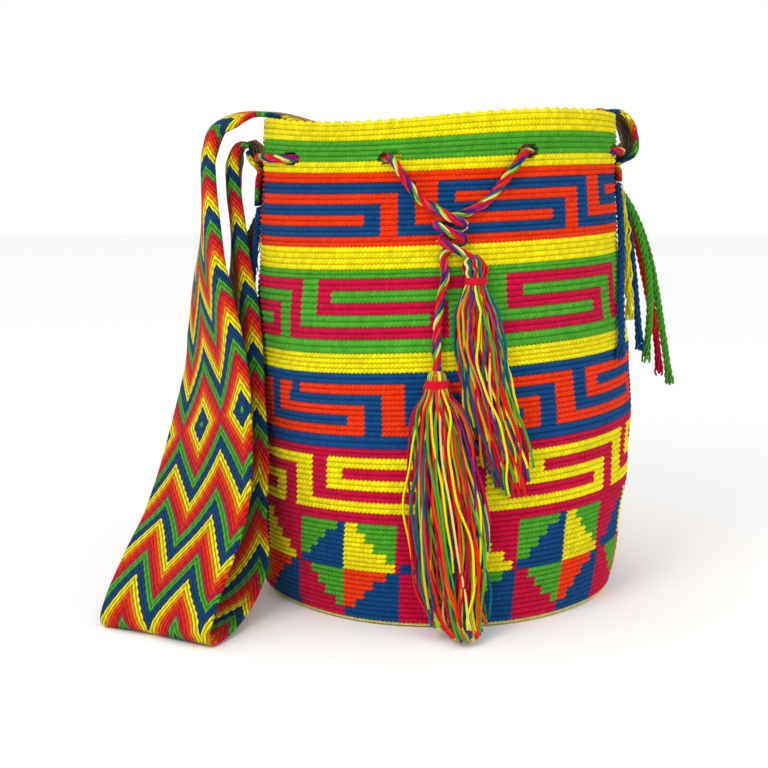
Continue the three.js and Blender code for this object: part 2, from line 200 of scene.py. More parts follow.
def twisted(path, offset, pitch, start, spread=None):
    """A path that winds round another. `spread` scales the offset point by point."""
    sides, ups = frames(path)
    turn = start + distances(path) / pitch * 2 * math.pi
    reach = offset * (np.ones(len(path)) if spread is None else spread)
    sideways = (reach * np.cos(turn))[:, None] * sides
    return path + sideways + (reach * np.sin(turn))[:, None] * ups


class Yarn:
    """Closed round tubes gathered into one mesh, each with its own colour."""

    def __init__(self):
        self.vertices = []
        self.faces = []
        self.colours = []
        self.count = 0

    def add(self, path, radius, colour, sides=6, second=None):
        """A tube along the path. A second colour runs down one side of it, as in paired yarn."""
        side, up = frames(path)
        angles = np.arange(sides) / sides * 2 * math.pi
        radii = np.broadcast_to(radius, len(path))[:, None, None]
        ring = np.cos(angles)[None, :, None] * side[:, None, :]
        ring = ring + np.sin(angles)[None, :, None] * up[:, None, :]
        self.vertices.append((path[:, None, :] + radii * ring).reshape(-1, 3))
        rows = self.count + np.arange(len(path) - 1)[:, None] * sides
        here = rows + np.arange(sides)[None, :]
        there = rows + (np.arange(sides)[None, :] + 1) % sides
        walls = np.stack([here, there, there + sides, here + sides], axis=-1).reshape(-1, 4)
        first = [self.count + k for k in reversed(range(sides))]
        last = [self.count + (len(path) - 1) * sides + k for k in range(sides)]
        self.faces += walls.tolist() + [first, last]
        painted_faces = np.tile(colour, (len(walls) + 2, 1))
        if second is not None:
            around = np.tile(np.arange(sides), len(path) - 1)
            painted_faces[: len(walls)][around < sides // 2] = second
        self.colours.append(painted_faces)
        self.count += len(path) * sides

    def make(self, name, material):
        """One mesh object of all the tubes."""
        vertices = np.vstack(self.vertices)
        return mesh_object(name, vertices, self.faces, material, np.vstack(self.colours))


def mesh_object(name, vertices, faces, material, colours=None, uvs=None):
    """A smooth mesh object: `colours` has one colour a face, `uvs` has one pair a corner."""
    mesh = bpy.data.meshes.new(name)
    mesh.from_pydata(np.asarray(vertices).tolist(), [], faces)
    mesh.shade_smooth()
    if colours is not None:
        sizes = np.array([len(face) for face in faces])
        corner = np.repeat(np.asarray(colours), sizes, axis=0)
        layer = mesh.color_attributes.new("yarn_colour", "FLOAT_COLOR", "CORNER")
        layer.data.foreach_set("color", np.column_stack([corner, np.ones(len(corner))]).ravel())
    if uvs is not None:
        layer = mesh.uv_layers.new(name="stitches")
        layer.data.foreach_set("uv", np.asarray(uvs, dtype=float).ravel())
    mesh.materials.append(material)
    made = bpy.data.objects.new(name, mesh)
    bpy.context.collection.objects.link(made)
    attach(made, "root")
    return made


# ---------- materials ----------


class Nodes:
    """Short names for building a material's nodes."""

    def __init__(self, name):
        self.material = bpy.data.materials.new(name)
        self.material.use_nodes = True
        self.tree = self.material.node_tree
        self.shader = self.tree.nodes["Principled BSDF"]

    def add(self, kind, inputs=(), **settings):
        """A node. Each of its inputs is linked to a socket or set to a value."""
        node = self.tree.nodes.new(kind)
        for key, value in settings.items():
            setattr(node, key, value)
        for key, value in dict(inputs).items():
            if isinstance(value, bpy.types.NodeSocket):
                self.tree.links.new(value, node.inputs[key])
            else:
                node.inputs[key].default_value = value
        return node

    def math(self, operation, *values):
        """The result of a Math node."""
        node = self.add("ShaderNodeMath", dict(enumerate(values)), operation=operation)
        return node.outputs[0]

    def scaled(self, colour, factor):
        """A colour times a factor."""
        node = self.add("ShaderNodeVectorMath", {0: colour}, operation="SCALE")
        self.tree.links.new(factor, node.inputs["Scale"])
        return node.outputs[0]

    def link(self, socket, name):
        """Feeds one of the shader's inputs."""
        self.tree.links.new(socket, self.shader.inputs[name])


def finish_yarn(nodes, colour, height, distance, roughness=0.85):
    """Slightly fuzzy yarn: uneven colour, a bump from `height`, rough and with a faint sheen."""
    place = nodes.add("ShaderNodeTexCoord").outputs["Object"]
    fine = {"Vector": place, "Scale": 1100.0, "Detail": 3.0}
    broad = {"Vector": place, "Scale": 38.0, "Detail": 2.0}
    fuzz = nodes.add("ShaderNodeTexNoise", fine).outputs["Fac"]
    wear = nodes.add("ShaderNodeTexNoise", broad).outputs["Fac"]
    shade = nodes.math("ADD", nodes.math("MULTIPLY", fuzz, 0.34), nodes.math("MULTIPLY", wear, 0.26))
    nodes.link(nodes.scaled(colour, nodes.math("ADD", shade, 0.70)), "Base Color")
    relief = nodes.math("ADD", nodes.math("MULTIPLY", fuzz, 0.35), height)
    bump = nodes.add("ShaderNodeBump", {"Height": relief, "Strength": 0.8, "Distance": distance})
    nodes.link(bump.outputs[0], "Normal")
    nodes.shader.inputs["Roughness"].default_value = roughness
    nodes.shader.inputs["Sheen Weight"].default_value = 0.03
    nodes.shader.inputs["Sheen Roughness"].default_value = 0.5
    nodes.shader.inputs["Specular IOR Level"].default_value = 0.15
    return nodes.material


def painted(nodes):
    """The colour that each face carries."""
    return nodes.add("ShaderNodeAttribute", attribute_name="yarn_colour").outputs["Color"]


def crochet_material():
    """Tight crochet: the two plies of each stitch slant across it, and the colour carries painted shade
    in the grooves between rows and the seams between stitches.
    """
    nodes = Nodes("crochet")
    uv = nodes.add("ShaderNodeUVMap", uv_map="stitches").outputs[0]
    parts = nodes.add("ShaderNodeSeparateXYZ", {0: uv})
    slant = nodes.math("ADD", parts.outputs[0], nodes.math("MULTIPLY", parts.outputs[1], 0.6))
    ply = nodes.math("SINE", nodes.math("MULTIPLY", slant, 4 * math.pi))
    from_groove = nodes.math("PINGPONG", parts.outputs[1], 0.5)
    from_seam = nodes.math("PINGPONG", parts.outputs[0], 0.5)
    # Painted shade: the colour darkens towards the grooves between rows and the seams between stitches.
    painted_groove_shade = nodes.math("ADD", nodes.math("MULTIPLY", from_groove, 2.2), 0.58)
    painted_seam_shade = nodes.math("ADD", nodes.math("MULTIPLY", from_seam, 1.4), 0.80)
    painted_shades = [nodes.math("MINIMUM", light, 1.0) for light in (painted_groove_shade, painted_seam_shade)]
    painted_shade_colour = nodes.scaled(painted(nodes), nodes.math("MULTIPLY", *painted_shades))
    return finish_yarn(nodes, painted_shade_colour, nodes.math("MULTIPLY", ply, 0.45), 0.0006)


def twist_material():
    """Plied yarn: fine threads across each strand, with painted shade in the hollows between them."""
    nodes = Nodes("twisted_yarn")
    place = nodes.add("ShaderNodeTexCoord").outputs["Object"]
    wave = nodes.add(
        "ShaderNodeTexWave",
        {"Vector": place, "Scale": 520.0, "Distortion": 3.0, "Detail": 1.0},
        bands_direction="DIAGONAL",
    )
    # Painted shade: the colour darkens where the threads' bump is low.
    shade = nodes.math("ADD", nodes.math("MULTIPLY", wave.outputs["Fac"], 0.42), 0.70)
    return finish_yarn(nodes, nodes.scaled(painted(nodes), shade), wave.outputs["Fac"], 0.0004)


CROCHET = crochet_material()
TWIST = twist_material()

# ---------- drawstring ----------

EYELET_HEIGHT = 0.278
EYELET_ANGLES = [29, -15.5, -55, -100, -145, 170, 125, 78]
CORD_INSIDE = -0.0074
CORD_OUTSIDE = 0.0034
CORD_IN_EYELET = -0.002
CORD_PASSAGE = 0.009
CORD_BUTT_GAP = 0.0024
CORD_ORDER = [-15.5, -55, -100, -145, -190, -235, -282, -331]
CORD_STRANDS = [
    (MAGENTA, RED, MAGENTA),
    (LIME, CREAM, GREEN),
    (PURPLE, NAVY, TEAL),
    (RED, ORANGE, PURPLE),
]
CORD_PITCH = 0.021
CORD_STEP = 0.0016
STRAND_OFFSET = 0.0015
PLY_OFFSET = 0.00062
PLY_RADIUS = 0.00074
PLY_PITCH = -2.2 * CORD_PITCH
CORD_CORE_RADIUS = 0.0009
SHORT_END_EYELET = -15.5
LONG_END_EYELET = 29
CURVE_STEPS = 24

# x, distance of the cord's middle from the front wall, z.
SHORT_END_ROUTE = [
    (-0.026, 0.0044, 0.273),
    (-0.0225, 0.0042, 0.2675),
    (-0.018, 0.004, 0.261),
    (-0.012, 0.004, 0.2535),
    (-0.006, 0.0055, 0.249),
    (0.001, 0.0085, 0.2455),
    (0.008, 0.01, 0.2415),
    (0.016, 0.0075, 0.2375),
    (0.008, 0.0037, 0.233),
    (0.0015, 0.007, 0.2288),
    (0.008, 0.01, 0.2245),
    (0.015, 0.0085, 0.221),
    (0.02, 0.0075, 0.2175),
    (0.0215, 0.0075, 0.214),
]
LONG_END_ROUTE = [
    (0.049, 0.0046, 0.276),
    (0.0445, 0.0042, 0.2695),
    (0.0398, 0.004, 0.2634),
    (0.0339, 0.004, 0.2564),
    (0.027, 0.004, 0.2495),
    (0.018, 0.004, 0.2448),
    (0.008, 0.004, 0.2415),
    (-0.0015, 0.0068, 0.238),
    (0.008, 0.0106, 0.233),
    (0.0155, 0.007, 0.2288),
    (0.008, 0.004, 0.2245),
    (0.003, 0.0045, 0.2185),
    (0.0043, 0.005, 0.211),
    (0.004, 0.005, 0.204),
    (0.002, 0.005, 0.195),
    (0.0008, 0.005, 0.186),
    (-0.0002, 0.005, 0.176),
    (-0.0004, 0.0055, 0.165),
    (-0.0002, 0.007, 0.157),
    (0, 0.008, 0.1526),
]


def turn_for(distance, angle):
    """Degrees around the wall for a distance along it."""
    half_width, front, back, _, _ = outline_at(EYELET_HEIGHT)
    a = math.radians(angle)
    depth = front if math.cos(a) > 0 else back
    return math.degrees(distance / math.hypot(half_width * math.cos(a), depth * math.sin(a)))


def eyelet_level(angle, outward):
    """A point at the eyelets' height."""
    return wall_point(EYELET_HEIGHT, math.radians(angle), outward)


def run_route():
    """Through the eyelets in turn, alternately inside and outside the wall."""
    points = []
    for gap in range(len(CORD_ORDER) - 1):
        out = CORD_INSIDE if gap % 2 == 0 else CORD_OUTSIDE
        start = CORD_ORDER[gap] - turn_for(CORD_PASSAGE, CORD_ORDER[gap])
        end = CORD_ORDER[gap + 1] + turn_for(CORD_PASSAGE, CORD_ORDER[gap + 1])
        points += [eyelet_level(start + (end - start) * i / 4, out) for i in range(5)]
        if gap < len(CORD_ORDER) - 2:
            points.append(eyelet_level(CORD_ORDER[gap + 1], CORD_IN_EYELET))
    return points


def end_route(eyelet, towards, route):
    """From inside the wall out through a front eyelet and on along the route."""
    inside = eyelet + towards * (turn_for(CORD_PASSAGE, eyelet) - turn_for(CORD_BUTT_GAP, eyelet))
    start = [eyelet_level(inside, CORD_INSIDE), eyelet_level(eyelet, CORD_IN_EYELET)]
    return start + [front_point(x, out, z) for x, out, z in route]


def drawstring(name, points):
    """A cord of strands of three yarns each round a core. Returns the piece and its centreline."""
    path = evenly(curve(points, CURVE_STEPS), CORD_STEP)
    yarn = Yarn()
    for k, colours in enumerate(CORD_STRANDS):
        start = k / len(CORD_STRANDS) * 2 * math.pi
        strand = twisted(path, STRAND_OFFSET, CORD_PITCH, start)
        for j, colour in enumerate(colours):
            ply = twisted(strand, PLY_OFFSET, PLY_PITCH, start + j / 3 * 2 * math.pi)
            yarn.add(ply, PLY_RADIUS, colour)
    yarn.add(path, CORD_CORE_RADIUS, NAVY)
    piece = yarn.make(name + "_yarn", TWIST)
    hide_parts(name)
    return piece, path


drawstring("drawstring_run", run_route())
short_end, short_path = drawstring(
    "drawstring_short_end", end_route(SHORT_END_EYELET, -1, SHORT_END_ROUTE)
)
long_end, long_path = drawstring(
    "drawstring_long_end", end_route(LONG_END_EYELET, 1, LONG_END_ROUTE)
)

# ---------- fringes ----------

FRINGE_CORDS = [
    ("right_fringe_blue_1", BLUE, [
        (0.1146, 0.002, 0.2582), (0.1158, -0.006, 0.24), (0.116, -0.017, 0.214),
        (0.1148, -0.029, 0.188), (0.1146, -0.04, 0.164), (0.113, -0.046, 0.152),
    ]),
    ("right_fringe_yellow", YELLOW, [
        (0.1144, 0.0075, 0.2582), (0.1175, 0.002, 0.247), (0.1198, -0.004, 0.228),
        (0.121, -0.011, 0.205), (0.1218, -0.017, 0.182), (0.122, -0.02, 0.174),
    ]),
    ("right_fringe_blue_2", BLUE, [
        (0.114, 0.013, 0.2582), (0.119, 0.01, 0.248), (0.123, 0.006, 0.228), (0.126, 0.002, 0.204),
        (0.1285, -0.003, 0.178), (0.131, -0.006, 0.152),
    ]),
    ("right_fringe_green_1", GREEN, [
        (0.1132, 0.0185, 0.2582), (0.121, 0.0175, 0.249), (0.129, 0.016, 0.232), (0.135, 0.014, 0.212),
        (0.138, 0.012, 0.196), (0.1385, 0.01, 0.172), (0.1365, 0.008, 0.143),
    ]),
    ("right_fringe_green_2", GREEN, [
        (0.112, 0.024, 0.2582), (0.121, 0.024, 0.25), (0.1305, 0.024, 0.234), (0.1385, 0.023, 0.212),
        (0.144, 0.022, 0.188), (0.1485, 0.021, 0.163), (0.155, 0.02, 0.125),
    ]),
    ("right_fringe_orange", ORANGE, [
        (0.1105, 0.0295, 0.2582), (0.12, 0.0305, 0.25), (0.128, 0.031, 0.232), (0.134, 0.031, 0.21),
        (0.139, 0.03, 0.188), (0.145, 0.028, 0.16),
    ]),
    ("right_fringe_magenta", MAGENTA, [
        (0.1088, 0.035, 0.2582), (0.119, 0.0365, 0.25), (0.129, 0.038, 0.23), (0.137, 0.038, 0.205),
        (0.143, 0.037, 0.18), (0.147, 0.036, 0.155), (0.15, 0.035, 0.13),
    ]),
    ("left_fringe_blue", BLUE, [
        (-0.1155, 0.002, 0.2424), (-0.1168, -0.004, 0.228), (-0.1186, -0.008, 0.208),
        (-0.1202, -0.01, 0.186), (-0.1214, -0.011, 0.16),
    ]),
    ("left_fringe_magenta", MAGENTA, [
        (-0.1151, 0.0075, 0.2424), (-0.1185, 0.006, 0.23), (-0.1215, 0.005, 0.212),
        (-0.1225, 0.004, 0.195), (-0.123, 0.004, 0.18),
    ]),
    ("left_fringe_green", GREEN, [
        (-0.1144, 0.013, 0.2424), (-0.119, 0.013, 0.234), (-0.124, 0.013, 0.223),
        (-0.1265, 0.013, 0.212), (-0.127, 0.013, 0.2),
    ]),
    ("left_fringe_yellow", YELLOW, [
        (-0.1136, 0.0185, 0.2424), (-0.118, 0.02, 0.232), (-0.121, 0.021, 0.216), (-0.122, 0.022, 0.2),
    ]),
]

FRINGE_PITCH = 0.013
FRINGE_FRAY = 0.018
FRINGE_STEP = 0.0009
FRINGE_STRANDS = 3
FRINGE_STRAND_OFFSET = 0.00125
FRINGE_PLY_OFFSET = 0.0006
FRINGE_PLY_RADIUS = 0.00068
FRINGE_PLY_PITCH = -0.02
FRINGE_CORE_RADIUS = 0.0007
LOOSE_THREADS = 14
LOOSE_REACH = 0.0026
LOOSE_RADIUS = 0.00042
LOOSE_PITCH = 0.09
# Each thread or strand starts this many radians on from the last, so that they spread evenly.
GOLDEN_TURN = 2.39996


def loose_threads(yarn, path, colour):
    """Threads that run along the path without a twist, as in a frayed cord."""
    for k in range(LOOSE_THREADS):
        start = k * GOLDEN_TURN
        shade = np.clip(colour * rng.uniform(0.8, 1.1), 0, 1)
        wave_length = rng.uniform(0.009, 0.02)
        wave = 1 + 0.35 * np.sin(distances(path) / wave_length * 2 * math.pi + start)
        reach = LOOSE_REACH * math.sqrt((k + 0.5) / LOOSE_THREADS)
        yarn.add(twisted(path, reach, LOOSE_PITCH, start, wave), LOOSE_RADIUS, shade)


def plied_strands(yarn, path, colour):
    """Strands of three plies each, which spread apart over the last stretch."""
    left = distances(path)[-1] - distances(path)
    fray = 1 + 2.4 * np.clip(1 - left / FRINGE_FRAY, 0, 1) ** 2
    for k in range(FRINGE_STRANDS):
        start = k / FRINGE_STRANDS * 2 * math.pi
        shade = np.clip(colour * rng.uniform(0.8, 1.1), 0, 1)
        strand = twisted(path, FRINGE_STRAND_OFFSET, FRINGE_PITCH, start)
        for j in range(3):
            turned = start + j / 3 * 2 * math.pi
            ply = twisted(strand, FRINGE_PLY_OFFSET, FRINGE_PLY_PITCH, turned, fray)
            shorter = int(rng.integers(0, 5)) if j else 0
            yarn.add(ply[: len(ply) - shorter], FRINGE_PLY_RADIUS, shade)


def fringe_cord(name, colour, route):
    """A loose cord at the strap's end. The yellow ones have come apart into threads."""
    path = evenly(curve(route, 12), FRINGE_STEP)
    yarn = Yarn()
    fill = loose_threads if name.endswith("yellow") else plied_strands
    fill(yarn, path, colour)
    yarn.add(path, FRINGE_CORE_RADIUS, colour)
    piece = yarn.make(name + "_yarn", TWIST)
    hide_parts(name)
    return piece, path


fringes = {name: fringe_cord(name, colour, route) for name, colour, route in FRINGE_CORDS}

# ---------- tassels ----------

# A colour that is listed more often is commoner in the tassels.
TASSEL_COLOURS = [
    ORANGE, RED, MAGENTA, MAGENTA, MAGENTA, MAGENTA, YELLOW, LIME, LIME, AMBER, TEAL, BLUE, TEAL,
    GREEN, GREEN, PURPLE, RED, CREAM,
]
STRAND_RADIUS = 0.0008
HEAD_STRAND_RADIUS = 0.00095
TIE_TURNS = 4

# Part of the strands are two-coloured, with one of these as the second colour.
MARL_COLOURS = [GREEN, TEAL, LIME, YELLOW, RED]
MARL_SHARE = 0.35

# How many waves a strand makes over its length: sideways, towards the front, and as a ripple.
STRAND_WAVES = [(0.6, 2.4), (0.6, 2.4), (4, 8)]

# Oval sections from the top down: x, distance off the front wall, z, half width, half depth.
SHORT_HEAD = [
    (0.0205, 0.0075, 0.2195, 0.0024, 0.0024),
    (0.0215, 0.0078, 0.2160, 0.0062, 0.005),
    (0.0225, 0.0082, 0.2110, 0.0068, 0.0055),
    (0.0225, 0.0088, 0.2050, 0.0046, 0.0042),
]
SHORT_SKEIN = [
    (0.0225, 0.0088, 0.2050, 0.0048, 0.0042),
    (0.0225, 0.009, 0.1990, 0.0065, 0.005),
    (0.023, 0.009, 0.188, 0.0105, 0.006),
    (0.025, 0.009, 0.170, 0.0135, 0.0068),
    (0.028, 0.009, 0.149, 0.0142, 0.0068),
    (0.0335, 0.009, 0.126, 0.0148, 0.0066),
    (0.0405, 0.009, 0.103, 0.0153, 0.006),
    (0.046, 0.008, 0.078, 0.0125, 0.0048),
]
LONG_SKEIN = [
    (0, 0.008, 0.1540, 0.0028, 0.0028),
    (0, 0.009, 0.1512, 0.0050, 0.0042),
    (0, 0.0095, 0.147, 0.005, 0.0045),
    (0, 0.010, 0.1406, 0.007, 0.006),
    (0.0008, 0.010, 0.132, 0.013, 0.007),
    (0.002, 0.010, 0.120, 0.0165, 0.0075),
    (0.004, 0.010, 0.100, 0.0195, 0.008),
    (0.006, 0.010, 0.078, 0.022, 0.008),
    (0.0085, 0.010, 0.055, 0.0225, 0.008),
    (0.010, 0.0105, 0.032, 0.0215, 0.0075),
    (0.012, 0.014, 0.016, 0.0185, 0.006),
    (0.015, 0.024, 0.0068, 0.0165, 0.004),
    (0.019, 0.038, 0.0042, 0.0125, 0.003),
]


def strand_colours():
    """A strand's colour, and a second one if it is two-coloured."""
    colour = TASSEL_COLOURS[int(rng.integers(len(TASSEL_COLOURS)))] * rng.uniform(0.85, 1.1)
    partner = None
    if rng.uniform() < MARL_SHARE:
        partner = MARL_COLOURS[int(rng.integers(len(MARL_COLOURS)))]
    return np.clip(colour, 0, 1), partner


def skein(name, sections, count, radius, wander, cut):
    """Loose strands that keep their place in the bundle's oval and wander a little. `cut` is the
    largest share of its length that a strand falls short of the longest."""
    yarn = Yarn()
    lengthwise = curve([[*front_point(x, out, z), w, d] for x, out, z, w, d in sections], 6)
    for k in range(count):
        rank = math.sqrt((k + 0.5) / count)
        angle = k * GOLDEN_TURN
        uneven = 0.62 * rng.uniform(0, 1) ** 1.7
        short = cut * (uneven + 0.38 * (rank * math.cos(angle)) ** 2)
        steps = int(len(lengthwise) * (1 - short))
        t = np.linspace(0, 1, len(lengthwise))[:steps]
        turns = 2 * math.pi * np.outer([rng.uniform(*span) for span in STRAND_WAVES], t)
        sway, swing, ripple = np.sin(turns + rng.uniform(0, 2 * math.pi, 3)[:, None])
        grow = wander * np.clip(t * 4, 0, 1)
        across = rank * math.cos(angle) + grow * (sway + 0.12 * ripple)
        through = rank * math.sin(angle) + grow * (0.6 * swing - 0.12 * ripple)
        path = lengthwise[:steps, :3].copy()
        path[:, 0] += across * lengthwise[:steps, 3]
        path[:, 1] -= through * lengthwise[:steps, 4]
        path[:, 2] = np.maximum(path[:, 2], radius * 1.05 + 0.0012 * (1 + through))
        colour, partner = strand_colours()
        yarn.add(path, radius, colour, sides=5, second=partner)
    piece = yarn.make(name + "_yarn", TWIST)
    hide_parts(name)


def wound_tie(name, x, out, z, radius, height):
    """Yarn wound round and round a tassel's neck."""
    thickness = height / TIE_TURNS
    t = np.linspace(0, 1, TIE_TURNS * 26)
    turn = t * TIE_TURNS * 2 * math.pi
    centre = front_point(x, out, z)
    path = np.stack([
        centre[0] + (radius - thickness / 2) * np.cos(turn),
        centre[1] + (radius - thickness / 2) * np.sin(turn),
        centre[2] + (t - 0.5) * (height - thickness),
    ], axis=1)
    yarn = Yarn()
    yarn.add(path, thickness * 0.56, TIE_RED, sides=8)
    piece = yarn.make(name + "_yarn", TWIST)
    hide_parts(name)


skein("short_tassel_head", SHORT_HEAD, 26, HEAD_STRAND_RADIUS, wander=0.10, cut=0)
skein("short_tassel_skein", SHORT_SKEIN, 115, STRAND_RADIUS, wander=0.20, cut=0.30)
skein("long_tassel_skein", LONG_SKEIN, 140, STRAND_RADIUS, wander=0.19, cut=0.42)
wound_tie("short_tassel_tie", 0.0225, 0.0088, 0.2050, radius=0.0066, height=0.0050)
wound_tie("long_tassel_tie", 0, 0.0095, 0.147, radius=0.0070, height=0.0058)

# ---------- the crocheted pattern ----------

STITCHES = 264
COLUMNS = 2 * STITCHES
WALL_TOP = 0.2995

# From the rim down: where the band ends (height), its rows, its kind, and its colours.
BANDS = [
    (0.2894, 3, "plain", YELLOW, None),
    (0.2764, 4, "plain", GREEN, None),
    (0.2693, 2, "plain", YELLOW, None),
    (0.2628, 2, "plain", ORANGE, None),
    (0.2309, 10, "meander_1", BLUE, ORANGE),
    (0.2251, 2, "plain", ORANGE, None),
    (0.2117, 4, "plain", YELLOW, None),
    (0.2065, 2, "plain", GREEN, None),
    (0.1717, 10, "meander_2", MAGENTA, GREEN),
    (0.1637, 2, "plain", GREEN, None),
    (0.1524, 4, "plain", YELLOW, None),
    (0.1461, 2, "plain", BLUE, None),
    (0.1157, 10, "meander_3", ORANGE, BLUE),
    (0.1082, 2, "plain", BLUE, None),
    (0.1030, 2, "plain", MAGENTA, None),
    (0.0696, 10, "meander_4", YELLOW, MAGENTA),
    (0.0631, 2, "plain", MAGENTA, None),
    (0.0335, 10, "diamonds_upper", None, None),
    (0.0093, 8, "diamonds_lower", None, None),
    (0.0026, 2, "diamonds_foot", None, None),
    (0.0006, 1, "plain", CREAM, None),
]

# Each meander: where it starts (degrees from the front), its stem's stitches, and the stitches of
# its repeats, which the maker didn't keep equal.
MEANDERS = {
    "meander_1": (-11.7, 4, [45, 40, 40, 40, 39, 60]),
    "meander_2": (-51.6, 4, [44, 41, 45, 44, 45, 45]),
    "meander_3": (-68.9, 5, [38, 38, 38, 38, 37, 37, 38]),
    "meander_4": (-48.3, 5, [44, 36, 46, 46, 46, 46]),
}
MEANDER_RISE = 9
MEANDER_BAR = 4
DIAMOND_START = -63.9
DIAMOND_REPEATS = [26, 25, 25, 26, 23, 23, 23, 23, 23, 23, 24]
DIAMOND_HALF = 12
DIAMOND_STEPS = 5


def place_in_repeat(start, repeats):
    """For every stitch round the bag: its repeat, how far into it, and how long that repeat is."""
    stitches = (np.arange(STITCHES) + 0.5 - start / 360 * STITCHES) % STITCHES
    ends = np.cumsum(repeats)
    which = np.searchsorted(ends, stitches, side="right").clip(0, len(repeats) - 1)
    widths = np.array(repeats)[which]
    return which, stitches - (ends[which] - widths), widths


def meander_row(kind, bar, motif, ground):
    """One row of a line that winds as an S: a stem, a low bar, a middle bar and a top bar."""
    start, stem, repeats = MEANDERS[kind]
    which, place, width = place_in_repeat(start, repeats)
    on = place < stem
    rising = (place >= MEANDER_RISE) & (place < MEANDER_RISE + MEANDER_BAR)
    falling = (place >= width - 2 * MEANDER_BAR) & (place < width - MEANDER_BAR)
    bars = {
        0: place < width - MEANDER_BAR,
        1: falling,
        2: (place >= MEANDER_RISE) & (place < width - MEANDER_BAR),
        3: rising,
        4: place >= MEANDER_RISE,
    }
    on = on | bars[bar]
    # One bar of the third meander has a gap of three stitches.
    if kind == "meander_3" and bar == 4:
        past_corner = place - MEANDER_RISE - MEANDER_BAR
        slip = (which == 0) & (past_corner >= 1) & (past_corner < 4)
        on = on & ~slip
    return np.where(on[:, None], motif, ground)


# One diamond has green on both sides of its lower half, where the others have orange on one.
PLAIN_GREEN_DIAMOND = 2


def diamond_row(kind, step):
    """One row of the stepped diamonds. Each has four differently coloured stepped triangles."""
    which, place, width = place_in_repeat(DIAMOND_START, DIAMOND_REPEATS)
    right = place < width / 2
    away = np.where(right, place, width - place)
    nearest = np.where(right, which, which + 1) % len(DIAMOND_REPEATS)
    cornered = nearest % 2 == 1
    ground = np.where(right[:, None], BLUE, MAGENTA)
    if kind == "diamonds_foot":
        return ground
    if kind == "diamonds_lower":
        reach = DIAMOND_HALF * (1 - (step + 1) / DIAMOND_STEPS)
        orange = right & (nearest != PLAIN_GREEN_DIAMOND)
        return np.where((away < reach)[:, None], np.where(orange[:, None], ORANGE, GREEN), ground)
    reach = DIAMOND_HALF * (step + 1) / DIAMOND_STEPS
    corner = np.where((cornered & (away < DIAMOND_HALF))[:, None], GREEN, MAGENTA)
    return np.where((away < reach)[:, None], np.where(right[:, None], YELLOW, BLUE), corner)


def wall_rows():
    """Every row from the base up: its lower edge, its upper edge and its stitches' colours."""
    rows = []
    top = WALL_TOP
    for bottom, count, kind, motif, ground in BANDS:
        for k in range(count):
            high = top + (bottom - top) * k / count
            low = top + (bottom - top) * (k + 1) / count
            if kind == "plain":
                colours = np.tile(motif, (STITCHES, 1))
            elif kind.startswith("meander"):
                colours = meander_row(kind, (count - 1 - k) // 2, motif, ground)
            else:
                colours = diamond_row(kind, k // 2)
            uneven = rng.uniform(0.86, 1.08, (STITCHES, 1)) * rng.uniform(0.95, 1.04)
            rows.append((low, high, np.clip(colours * uneven, 0, 1)))
        top = bottom
    return rows[::-1]


# ---------- the crocheted wall ----------

BULGE = 0.0006
GROOVE = 0.0010
STITCH_DIP = 0.0005
SAW = 0.00038
SLOT_HALF_WIDTH = 0.0072
SLOT_HALF_HEIGHT = 0.0042

# The rings of a row: how far up it they are, how far out, how far slanted, and what they are.
ROW_RINGS = ((0, -GROOVE, 0, "groove"), (0.32, BULGE, -0.4, "bulge"), (0.74, BULGE, 0.5, "bulge"))
# The rings over the rim: how far above the last row they are, and how far out.
LIP_OUT = 0.0002
LIP_RINGS = ((0.0016, LIP_OUT), (0.0024, -0.0018), (0.0014, -0.0036))


def wall_ring(height, outward, shear, part):
    """One ring of points. `part` is "groove" between rows, "bulge" on the stitches, "lip" on the
    rim's edge, or "plain"."""
    column = np.arange(COLUMNS)
    angle = (column + shear) / COLUMNS * 2 * math.pi
    middle = column % 2
    if part == "bulge":
        outward = outward - STITCH_DIP * (1 - middle)
    elif part == "groove":
        height = height + SAW * (2 * middle - 1)
    elif part == "lip":
        chunk = np.sin(column / 6 * 2 * math.pi + 3 * np.sin(column / 41))
        height = height + 0.0007 * chunk + 0.0003 * (2 * middle - 1)
        outward = outward + 0.0004 * chunk
    slack = np.sin(5 * angle + 60 * height) * np.sin(3 * angle - 85 * height)
    outward = outward + 0.0008 * slack + rng.normal(0, 0.00012, COLUMNS)
    return wall_point(height, angle, outward)


def in_slot(heights):
    """Whether each face of some rings of faces, at these heights, lies in one of the eyelets."""
    angle = np.degrees((np.arange(COLUMNS) + 0.5) / COLUMNS * 2 * math.pi)
    rise = ((np.array(heights) - EYELET_HEIGHT) / SLOT_HALF_HEIGHT) ** 2
    inside = np.zeros((len(heights), COLUMNS), dtype=bool)
    for eyelet in EYELET_ANGLES:
        off = (angle - eyelet + 180) % 360 - 180
        along = off / turn_for(1.0, eyelet)
        inside |= (along / SLOT_HALF_WIDTH) ** 2 + rise[:, None] < 1
    return inside


def ring_uvs(count):
    """For the four corners of each face: stitches round the wall, and rows across it."""
    column = np.arange(COLUMNS) / 2
    level = np.arange(count) / 3
    across = np.stack([column, column + 0.5, column + 0.5, column], axis=-1)
    lifts = np.stack([level, level, level + 1 / 3, level + 1 / 3], axis=-1)
    u = np.broadcast_to(across[None], (count, COLUMNS, 4))
    v = np.broadcast_to(lifts[:, None], (count, COLUMNS, 4))
    return np.stack([u, v], axis=-1)


